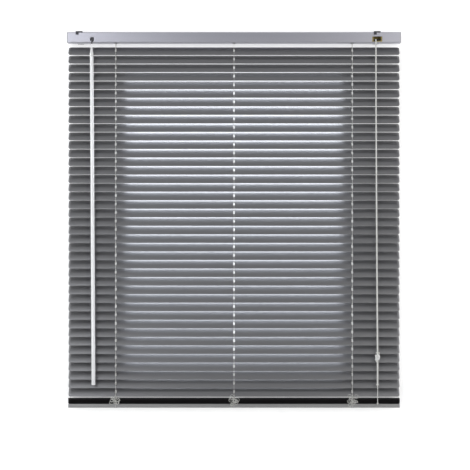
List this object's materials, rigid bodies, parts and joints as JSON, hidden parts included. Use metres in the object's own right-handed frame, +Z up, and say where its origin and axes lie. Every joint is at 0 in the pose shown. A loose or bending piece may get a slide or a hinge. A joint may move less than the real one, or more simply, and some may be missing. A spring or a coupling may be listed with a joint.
{
  "type": "venetian blind",
  "caption": "Aluminium venetian blind with a head rail, tilting slats on string ladders, a tilt wand, lift cords with a cord lock and a weighted bottom rail, hung from wall brackets.",
  "frame": {"origin": "on the wall plane, at the middle of the blind's width and level with the head rail's top", "axes": "+X along the blind to the right as seen from the room, +Y into the wall, +Z up"},
  "size_m": [0.8, 0.0454, 0.9018],
  "materials": {
    "rail_paint": "satin",
    "cap_plastic": "satin",
    "bracket_steel": "satin",
    "tilter_plastic": "satin",
    "lock_brass": "satin",
    "rod_zinc": "satin",
    "hook_wire": "satin",
    "wand_acrylic": "gloss",
    "cord_white": "matte",
    "bottom_rail_paint": "satin",
    "slat_paint": "satin",
    "connector_plastic": "gloss"
  },
  "bodies": {
    "root": {"head_rail": "rail_paint", "rail_cap_left": "cap_plastic", "rail_cap_right": "cap_plastic", "bracket_left": "bracket_steel", "bracket_right": "bracket_steel", "tilter_housing": "tilter_plastic", "cord_lock_body": "lock_brass"},
    "tilt_shaft": {"tilt_rod": "rod_zinc"},
    "worm": {"tilter_worm": "tilter_plastic"},
    "wand_hook": {"wand_hook": "hook_wire"},
    "wand": {"wand": "wand_acrylic"},
    "ladder_front": {"ladder_front": "cord_white"},
    "ladder_back": {"ladder_back": "cord_white"},
    "slat_01": {"slat_01": "slat_paint"},
    "slat_02": {"slat_02": "slat_paint"},
    "slat_03": {"slat_03": "slat_paint"},
    "slat_04": {"slat_04": "slat_paint"},
    "slat_05": {"slat_05": "slat_paint"},
    "slat_06": {"slat_06": "slat_paint"},
    "slat_07": {"slat_07": "slat_paint"},
    "slat_08": {"slat_08": "slat_paint"},
    "slat_09": {"slat_09": "slat_paint"},
    "slat_10": {"slat_10": "slat_paint"},
    "slat_11": {"slat_11": "slat_paint"},
    "slat_12": {"slat_12": "slat_paint"},
    "slat_13": {"slat_13": "slat_paint"},
    "slat_14": {"slat_14": "slat_paint"},
    "slat_15": {"slat_15": "slat_paint"},
    "slat_16": {"slat_16": "slat_paint"},
    "slat_17": {"slat_17": "slat_paint"},
    "slat_18": {"slat_18": "slat_paint"},
    "slat_19": {"slat_19": "slat_paint"},
    "slat_20": {"slat_20": "slat_paint"},
    "slat_21": {"slat_21": "slat_paint"},
    "slat_22": {"slat_22": "slat_paint"},
    "slat_23": {"slat_23": "slat_paint"},
    "slat_24": {"slat_24": "slat_paint"},
    "slat_25": {"slat_25": "slat_paint"},
    "slat_26": {"slat_26": "slat_paint"},
    "slat_27": {"slat_27": "slat_paint"},
    "slat_28": {"slat_28": "slat_paint"},
    "slat_29": {"slat_29": "slat_paint"},
    "slat_30": {"slat_30": "slat_paint"},
    "slat_31": {"slat_31": "slat_paint"},
    "slat_32": {"slat_32": "slat_paint"},
    "slat_33": {"slat_33": "slat_paint"},
    "slat_34": {"slat_34": "slat_paint"},
    "slat_35": {"slat_35": "slat_paint"},
    "slat_36": {"slat_36": "slat_paint"},
    "slat_37": {"slat_37": "slat_paint"},
    "slat_38": {"slat_38": "slat_paint"},
    "slat_39": {"slat_39": "slat_paint"},
    "slat_40": {"slat_40": "slat_paint"},
    "slat_41": {"slat_41": "slat_paint"},
    "bottom_rail": {"bottom_rail": "bottom_rail_paint", "slat_stack": "slat_paint", "lift_cord": "cord_white"},
    "pull_cord": {"pull_cords": "cord_white", "cord_connector": "connector_plastic"},
    "lock_roller": {"cord_lock_roller": "rod_zinc"}
  },
  "joints": [
    {"name": "wand_spin", "type": "hinge", "parent": "root", "child": "wand_hook", "pos_m": [-0.34, -0.04045, -0.02725], "axis": [0, 0, -1], "range_deg": [-2880, 360]},
    {"name": "wand_swing", "type": "hinge", "parent": "wand_hook", "child": "wand", "pos_m": [-0.34, -0.04045, -0.041], "axis": [-1, 0, 0], "range_deg": [0, 60]},
    {"name": "worm_spin", "type": "hinge", "parent": "root", "child": "worm", "pos_m": [-0.34, -0.02945, -0.0082], "axis": [0, -0.5, -0.866], "range_deg": [-2880, 360]},
    {"name": "shaft_turn", "type": "hinge", "parent": "root", "child": "tilt_shaft", "pos_m": [0, -0.022, -0.0125], "axis": [1, 0, 0], "range_deg": [-120, 15]},
    {"name": "ladder_front_shift", "type": "hinge", "parent": "tilt_shaft", "child": "ladder_front", "pos_m": [0, -0.02917, -0.02552], "axis": [1, 0, 0], "range_deg": [-15, 120]},
    {"name": "ladder_back_shift", "type": "hinge", "parent": "tilt_shaft", "child": "ladder_back", "pos_m": [0, -0.01262, -0.00098], "axis": [1, 0, 0], "range_deg": [-15, 120]},
    {"name": "slat_01_tilt", "type": "hinge", "parent": "root", "child": "slat_01", "pos_m": [0, -0.022, -0.043], "axis": [1, 0, 0], "range_deg": [-120, 15]},
    {"name": "slat_02_tilt", "type": "hinge", "parent": "root", "child": "slat_02", "pos_m": [0, -0.022, -0.0635], "axis": [1, 0, 0], "range_deg": [-120, 15]},
    {"name": "slat_03_tilt", "type": "hinge", "parent": "root", "child": "slat_03", "pos_m": [0, -0.022, -0.084], "axis": [1, 0, 0], "range_deg": [-120, 15]},
    {"name": "slat_04_tilt", "type": "hinge", "parent": "root", "child": "slat_04", "pos_m": [0, -0.022, -0.1045], "axis": [1, 0, 0], "range_deg": [-120, 15]},
    {"name": "slat_05_tilt", "type": "hinge", "parent": "root", "child": "slat_05", "pos_m": [0, -0.022, -0.125], "axis": [1, 0, 0], "range_deg": [-120, 15]},
    {"name": "slat_06_tilt", "type": "hinge", "parent": "root", "child": "slat_06", "pos_m": [0, -0.022, -0.1455], "axis": [1, 0, 0], "range_deg": [-120, 15]},
    {"name": "slat_07_tilt", "type": "hinge", "parent": "root", "child": "slat_07", "pos_m": [0, -0.022, -0.166], "axis": [1, 0, 0], "range_deg": [-120, 15]},
    {"name": "slat_08_tilt", "type": "hinge", "parent": "root", "child": "slat_08", "pos_m": [0, -0.022, -0.1865], "axis": [1, 0, 0], "range_deg": [-120, 15]},
    {"name": "slat_09_tilt", "type": "hinge", "parent": "root", "child": "slat_09", "pos_m": [0, -0.022, -0.207], "axis": [1, 0, 0], "range_deg": [-120, 15]},
    {"name": "slat_10_tilt", "type": "hinge", "parent": "root", "child": "slat_10", "pos_m": [0, -0.022, -0.2275], "axis": [1, 0, 0], "range_deg": [-120, 15]},
    {"name": "slat_11_tilt", "type": "hinge", "parent": "root", "child": "slat_11", "pos_m": [0, -0.022, -0.248], "axis": [1, 0, 0], "range_deg": [-120, 15]},
    {"name": "slat_12_tilt", "type": "hinge", "parent": "root", "child": "slat_12", "pos_m": [0, -0.022, -0.2685], "axis": [1, 0, 0], "range_deg": [-120, 15]},
    {"name": "slat_13_tilt", "type": "hinge", "parent": "root", "child": "slat_13", "pos_m": [0, -0.022, -0.289], "axis": [1, 0, 0], "range_deg": [-120, 15]},
    {"name": "slat_14_tilt", "type": "hinge", "parent": "root", "child": "slat_14", "pos_m": [0, -0.022, -0.3095], "axis": [1, 0, 0], "range_deg": [-120, 15]},
    {"name": "slat_15_tilt", "type": "hinge", "parent": "root", "child": "slat_15", "pos_m": [0, -0.022, -0.33], "axis": [1, 0, 0], "range_deg": [-120, 15]},
    {"name": "slat_16_tilt", "type": "hinge", "parent": "root", "child": "slat_16", "pos_m": [0, -0.022, -0.3505], "axis": [1, 0, 0], "range_deg": [-120, 15]},
    {"name": "slat_17_tilt", "type": "hinge", "parent": "root", "child": "slat_17", "pos_m": [0, -0.022, -0.371], "axis": [1, 0, 0], "range_deg": [-120, 15]},
    {"name": "slat_18_tilt", "type": "hinge", "parent": "root", "child": "slat_18", "pos_m": [0, -0.022, -0.3915], "axis": [1, 0, 0], "range_deg": [-120, 15]},
    {"name": "slat_19_tilt", "type": "hinge", "parent": "root", "child": "slat_19", "pos_m": [0, -0.022, -0.412], "axis": [1, 0, 0], "range_deg": [-120, 15]},
    {"name": "slat_20_tilt", "type": "hinge", "parent": "root", "child": "slat_20", "pos_m": [0, -0.022, -0.4325], "axis": [1, 0, 0], "range_deg": [-120, 15]},
    {"name": "slat_21_tilt", "type": "hinge", "parent": "root", "child": "slat_21", "pos_m": [0, -0.022, -0.453], "axis": [1, 0, 0], "range_deg": [-120, 15]},
    {"name": "slat_22_tilt", "type": "hinge", "parent": "root", "child": "slat_22", "pos_m": [0, -0.022, -0.4735], "axis": [1, 0, 0], "range_deg": [-120, 15]},
    {"name": "slat_23_tilt", "type": "hinge", "parent": "root", "child": "slat_23", "pos_m": [0, -0.022, -0.494], "axis": [1, 0, 0], "range_deg": [-120, 15]},
    {"name": "slat_24_tilt", "type": "hinge", "parent": "root", "child": "slat_24", "pos_m": [0, -0.022, -0.5145], "axis": [1, 0, 0], "range_deg": [-120, 15]},
    {"name": "slat_25_tilt", "type": "hinge", "parent": "root", "child": "slat_25", "pos_m": [0, -0.022, -0.535], "axis": [1, 0, 0], "range_deg": [-120, 15]},
    {"name": "slat_26_tilt", "type": "hinge", "parent": "root", "child": "slat_26", "pos_m": [0, -0.022, -0.5555], "axis": [1, 0, 0], "range_deg": [-120, 15]},
    {"name": "slat_27_tilt", "type": "hinge", "parent": "root", "child": "slat_27", "pos_m": [0, -0.022, -0.576], "axis": [1, 0, 0], "range_deg": [-120, 15]},
    {"name": "slat_28_tilt", "type": "hinge", "parent": "root", "child": "slat_28", "pos_m": [0, -0.022, -0.5965], "axis": [1, 0, 0], "range_deg": [-120, 15]},
    {"name": "slat_29_tilt", "type": "hinge", "parent": "root", "child": "slat_29", "pos_m": [0, -0.022, -0.617], "axis": [1, 0, 0], "range_deg": [-120, 15]},
    {"name": "slat_30_tilt", "type": "hinge", "parent": "root", "child": "slat_30", "pos_m": [0, -0.022, -0.6375], "axis": [1, 0, 0], "range_deg": [-120, 15]},
    {"name": "slat_31_tilt", "type": "hinge", "parent": "root", "child": "slat_31", "pos_m": [0, -0.022, -0.658], "axis": [1, 0, 0], "range_deg": [-120, 15]},
    {"name": "slat_32_tilt", "type": "hinge", "parent": "root", "child": "slat_32", "pos_m": [0, -0.022, -0.6785], "axis": [1, 0, 0], "range_deg": [-120, 15]},
    {"name": "slat_33_tilt", "type": "hinge", "parent": "root", "child": "slat_33", "pos_m": [0, -0.022, -0.699], "axis": [1, 0, 0], "range_deg": [-120, 15]},
    {"name": "slat_34_tilt", "type": "hinge", "parent": "root", "child": "slat_34", "pos_m": [0, -0.022, -0.7195], "axis": [1, 0, 0], "range_deg": [-120, 15]},
    {"name": "slat_35_tilt", "type": "hinge", "parent": "root", "child": "slat_35", "pos_m": [0, -0.022, -0.74], "axis": [1, 0, 0], "range_deg": [-120, 15]},
    {"name": "slat_36_tilt", "type": "hinge", "parent": "root", "child": "slat_36", "pos_m": [0, -0.022, -0.7605], "axis": [1, 0, 0], "range_deg": [-120, 15]},
    {"name": "slat_37_tilt", "type": "hinge", "parent": "root", "child": "slat_37", "pos_m": [0, -0.022, -0.781], "axis": [1, 0, 0], "range_deg": [-120, 15]},
    {"name": "slat_38_tilt", "type": "hinge", "parent": "root", "child": "slat_38", "pos_m": [0, -0.022, -0.8015], "axis": [1, 0, 0], "range_deg": [-120, 15]},
    {"name": "slat_39_tilt", "type": "hinge", "parent": "root", "child": "slat_39", "pos_m": [0, -0.022, -0.822], "axis": [1, 0, 0], "range_deg": [-120, 15]},
    {"name": "slat_40_tilt", "type": "hinge", "parent": "root", "child": "slat_40", "pos_m": [0, -0.022, -0.8425], "axis": [1, 0, 0], "range_deg": [-120, 15]},
    {"name": "slat_41_tilt", "type": "hinge", "parent": "root", "child": "slat_41", "pos_m": [0, -0.022, -0.863], "axis": [1, 0, 0], "range_deg": [-120, 15]},
    {"name": "lift", "type": "slide", "parent": "root", "child": "bottom_rail", "axis": [0, 0, 1], "range_m": [-0.0045, 0.0004]},
    {"name": "pull", "type": "slide", "parent": "root", "child": "pull_cord", "axis": [0, 0, 1], "range_m": [-0.0004, 0.0045]},
    {"name": "lock_release", "type": "slide", "parent": "root", "child": "lock_roller", "axis": [0, 1, 0], "range_m": [0, 0.003]}
  ],
  "couplings": [
    {"joint": "worm_spin", "follows": "wand_spin", "ratio": 1},
    {"joint": "shaft_turn", "follows": "wand_spin", "ratio": 0.041667},
    {"joint": "ladder_front_shift", "follows": "wand_spin", "ratio": -0.041667},
    {"joint": "ladder_back_shift", "follows": "wand_spin", "ratio": -0.041667},
    {"joint": "slat_01_tilt", "follows": "wand_spin", "ratio": 0.041667},
    {"joint": "slat_02_tilt", "follows": "wand_spin", "ratio": 0.041667},
    {"joint": "slat_03_tilt", "follows": "wand_spin", "ratio": 0.041667},
    {"joint": "slat_04_tilt", "follows": "wand_spin", "ratio": 0.041667},
    {"joint": "slat_05_tilt", "follows": "wand_spin", "ratio": 0.041667},
    {"joint": "slat_06_tilt", "follows": "wand_spin", "ratio": 0.041667},
    {"joint": "slat_07_tilt", "follows": "wand_spin", "ratio": 0.041667},
    {"joint": "slat_08_tilt", "follows": "wand_spin", "ratio": 0.041667},
    {"joint": "slat_09_tilt", "follows": "wand_spin", "ratio": 0.041667},
    {"joint": "slat_10_tilt", "follows": "wand_spin", "ratio": 0.041667},
    {"joint": "slat_11_tilt", "follows": "wand_spin", "ratio": 0.041667},
    {"joint": "slat_12_tilt", "follows": "wand_spin", "ratio": 0.041667},
    {"joint": "slat_13_tilt", "follows": "wand_spin", "ratio": 0.041667},
    {"joint": "slat_14_tilt", "follows": "wand_spin", "ratio": 0.041667},
    {"joint": "slat_15_tilt", "follows": "wand_spin", "ratio": 0.041667},
    {"joint": "slat_16_tilt", "follows": "wand_spin", "ratio": 0.041667},
    {"joint": "slat_17_tilt", "follows": "wand_spin", "ratio": 0.041667},
    {"joint": "slat_18_tilt", "follows": "wand_spin", "ratio": 0.041667},
    {"joint": "slat_19_tilt", "follows": "wand_spin", "ratio": 0.041667},
    {"joint": "slat_20_tilt", "follows": "wand_spin", "ratio": 0.041667},
    {"joint": "slat_21_tilt", "follows": "wand_spin", "ratio": 0.041667},
    {"joint": "slat_22_tilt", "follows": "wand_spin", "ratio": 0.041667},
    {"joint": "slat_23_tilt", "follows": "wand_spin", "ratio": 0.041667},
    {"joint": "slat_24_tilt", "follows": "wand_spin", "ratio": 0.041667},
    {"joint": "slat_25_tilt", "follows": "wand_spin", "ratio": 0.041667},
    {"joint": "slat_26_tilt", "follows": "wand_spin", "ratio": 0.041667},
    {"joint": "slat_27_tilt", "follows": "wand_spin", "ratio": 0.041667},
    {"joint": "slat_28_tilt", "follows": "wand_spin", "ratio": 0.041667},
    {"joint": "slat_29_tilt", "follows": "wand_spin", "ratio": 0.041667},
    {"joint": "slat_30_tilt", "follows": "wand_spin", "ratio": 0.041667},
    {"joint": "slat_31_tilt", "follows": "wand_spin", "ratio": 0.041667},
    {"joint": "slat_32_tilt", "follows": "wand_spin", "ratio": 0.041667},
    {"joint": "slat_33_tilt", "follows": "wand_spin", "ratio": 0.041667},
    {"joint": "slat_34_tilt", "follows": "wand_spin", "ratio": 0.041667},
    {"joint": "slat_35_tilt", "follows": "wand_spin", "ratio": 0.041667},
    {"joint": "slat_36_tilt", "follows": "wand_spin", "ratio": 0.041667},
    {"joint": "slat_37_tilt", "follows": "wand_spin", "ratio": 0.041667},
    {"joint": "slat_38_tilt", "follows": "wand_spin", "ratio": 0.041667},
    {"joint": "slat_39_tilt", "follows": "wand_spin", "ratio": 0.041667},
    {"joint": "slat_40_tilt", "follows": "wand_spin", "ratio": 0.041667},
    {"joint": "slat_41_tilt", "follows": "wand_spin", "ratio": 0.041667},
    {"joint": "pull", "follows": "lift", "ratio": -1}
  ]
}
